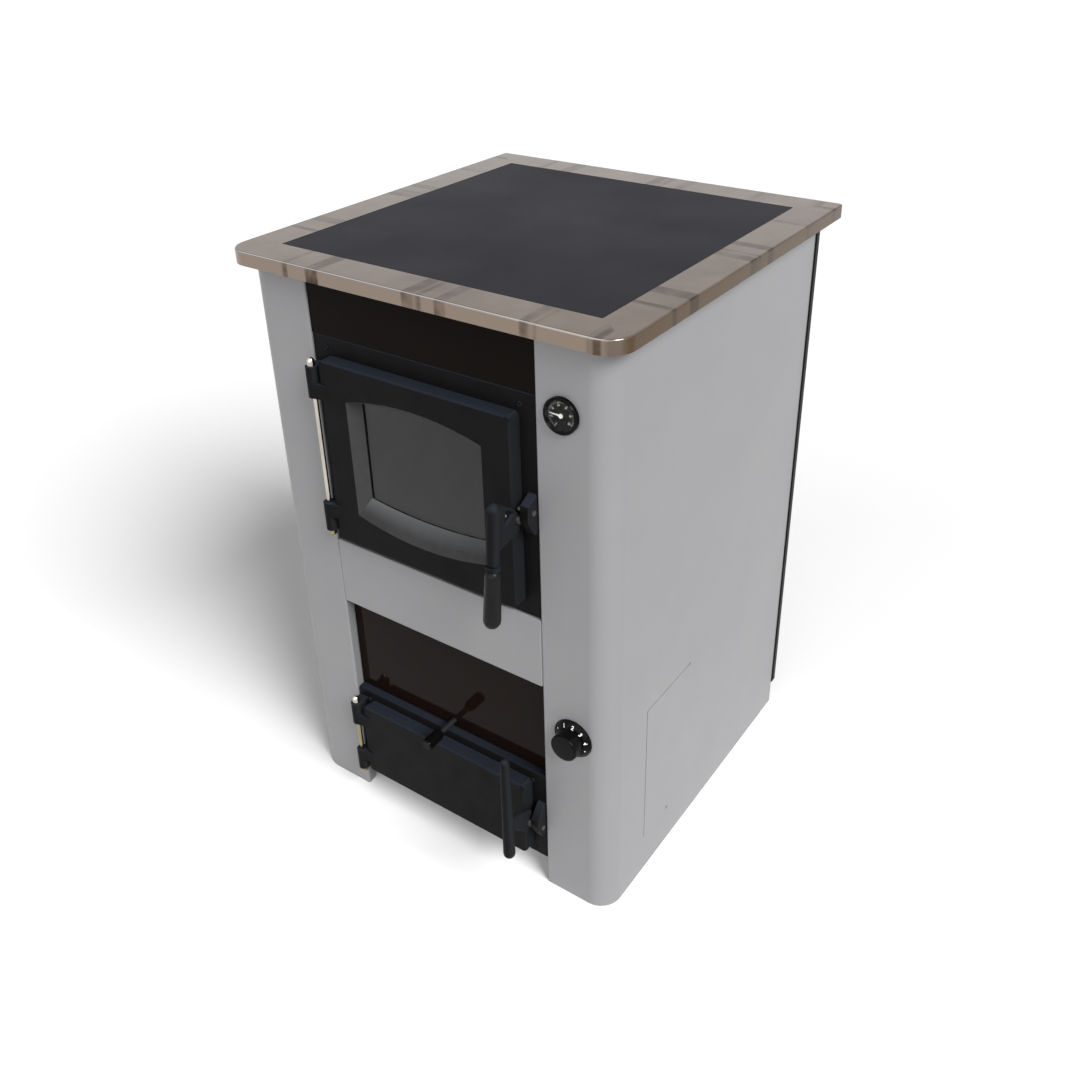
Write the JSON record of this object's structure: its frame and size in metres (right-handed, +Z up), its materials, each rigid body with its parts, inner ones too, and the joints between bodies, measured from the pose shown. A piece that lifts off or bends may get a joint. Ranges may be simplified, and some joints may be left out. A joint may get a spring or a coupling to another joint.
{
  "type": "wood cookstove",
  "caption": "Upright wood-burning cookstove with a steel cooking top, glazed fire door, ash door and water jacket.",
  "frame": {"origin": "on the floor, in the middle of the whole stove, latch handles and flue spigot counted in", "axes": "+Z up, the doors face -Y, +X is towards the latch side"},
  "size_m": [0.574, 0.6448, 0.85],
  "materials": {
    "grey_paint": "satin light-grey stove paint",
    "polished_steel": "polished folded steel, warm reflections",
    "cook_plate_steel": "dark blued cooking steel, matt",
    "cast_black": "black high-temperature paint on cast iron",
    "gloss_black": "gloss black painted sheet",
    "rear_black": "black painted sheet",
    "chrome": "bright chrome",
    "gilt": "yellow zinc plate",
    "raw_steel": "mill-finish welded steel",
    "grey_iron": "bare grey iron",
    "rope_seal": "braided glass-fibre rope",
    "sight_glass": "smoked heat-proof glass",
    "dial_glass": "clear",
    "black_plastic": "satin black phenolic",
    "needle_white": "white enamel"
  },
  "bodies": {
    "root": {"hob_frame": "polished_steel", "right_side_panel": "grey_paint", "left_side_panel": "grey_paint", "middle_front_panel": "grey_paint", "upper_front_strip": "gloss_black", "lower_front_plate": "gloss_black", "rear_cover": "rear_black", "base_tray": "raw_steel", "boiler_front": "raw_steel", "ash_front_plate": "raw_steel", "boiler_body": "raw_steel", "firebox_liner": "raw_steel", "jacket_floor": "raw_steel", "jacket_roof": "raw_steel", "flue_sleeve": "raw_steel", "ash_hopper": "raw_steel", "right_grate_rail": "raw_steel", "left_grate_rail": "raw_steel", "smoke_baffle": "raw_steel", "ash_pan": "raw_steel", "ash_pan_handle": "raw_steel", "flue_spigot": "rear_black", "flow_socket": "raw_steel", "return_socket": "raw_steel", "upper_surround": "cast_black", "lower_surround": "cast_black", "upper_strike_pin": "raw_steel", "lower_strike_pin": "raw_steel", "upper_hinge_pin": "chrome", "upper_hinge_cap": "chrome", "upper_hinge_nut": "gilt", "lower_hinge_pin": "gilt", "lower_hinge_cap": "chrome", "lower_hinge_nut": "gilt", "thermometer_case": "black_plastic", "thermometer_dial": "black_plastic", "thermometer_glass": "dial_glass", "thermometer_probe": "raw_steel", "regulator_body": "raw_steel"},
    "cook_plate": {"cook_plate": "cook_plate_steel"},
    "grate": {"fire_grate": "grey_iron", "grate_rod": "raw_steel", "grate_knob": "black_plastic"},
    "upper_door": {"upper_door": "cast_black", "glass_gasket": "rope_seal", "door_glass": "sight_glass", "glass_retainer": "raw_steel", "upper_door_rope": "rope_seal", "upper_latch_screw": "raw_steel"},
    "upper_latch": {"upper_latch_lever": "cast_black", "upper_latch_grip": "black_plastic"},
    "lower_door": {"lower_door": "cast_black", "lower_door_rope": "rope_seal", "lower_latch_screw": "raw_steel"},
    "lower_latch": {"lower_latch_lever": "cast_black"},
    "needle": {"thermometer_needle": "needle_white"},
    "regulator_knob": {"regulator_dial": "black_plastic", "regulator_grip": "black_plastic"},
    "air_flap": {"air_flap": "raw_steel"}
  },
  "joints": [
    {"name": "cook_plate_lift", "type": "slide", "parent": "root", "child": "cook_plate", "axis": [0, 0, 1], "range_m": [0, 0.06]},
    {"name": "grate_shake", "type": "slide", "parent": "root", "child": "grate", "axis": [0, 1, 0], "range_m": [-0.014, 0.014]},
    {"name": "upper_door_hinge", "type": "hinge", "parent": "root", "child": "upper_door", "pos_m": [-0.159, -0.25864, 0.602], "axis": [0, 0, 1], "range_deg": [-110, 0]},
    {"name": "upper_latch_pivot", "type": "hinge", "parent": "upper_door", "child": "upper_latch", "pos_m": [0.15, -0.25764, 0.602], "axis": [1, 0, 0], "range_deg": [-34, 10]},
    {"name": "lower_door_hinge", "type": "hinge", "parent": "root", "child": "lower_door", "pos_m": [-0.159, -0.25864, 0.118], "axis": [0, 0, 1], "range_deg": [-110, 0]},
    {"name": "lower_latch_pivot", "type": "hinge", "parent": "lower_door", "child": "lower_latch", "pos_m": [0.15, -0.25764, 0.118], "axis": [1, 0, 0], "range_deg": [-10, 34]},
    {"name": "thermometer_needle_turn", "type": "hinge", "parent": "root", "child": "needle", "pos_m": [0.206, -0.24863, 0.744], "axis": [0, 1, 0], "range_deg": [-63, 207]},
    {"name": "regulator_turn", "type": "hinge", "parent": "root", "child": "regulator_knob", "pos_m": [0.216, -0.25063, 0.291], "axis": [0, 1, 0], "range_deg": [0, 270]},
    {"name": "air_flap_swing", "type": "hinge", "parent": "root", "child": "air_flap", "pos_m": [0.1205, -0.12964, 0.1445], "axis": [0, 1, 0], "range_deg": [-60, 0]}
  ],
  "couplings": [
    {"joint": "air_flap_swing", "follows": "regulator_turn", "ratio": -0.2}
  ]
}
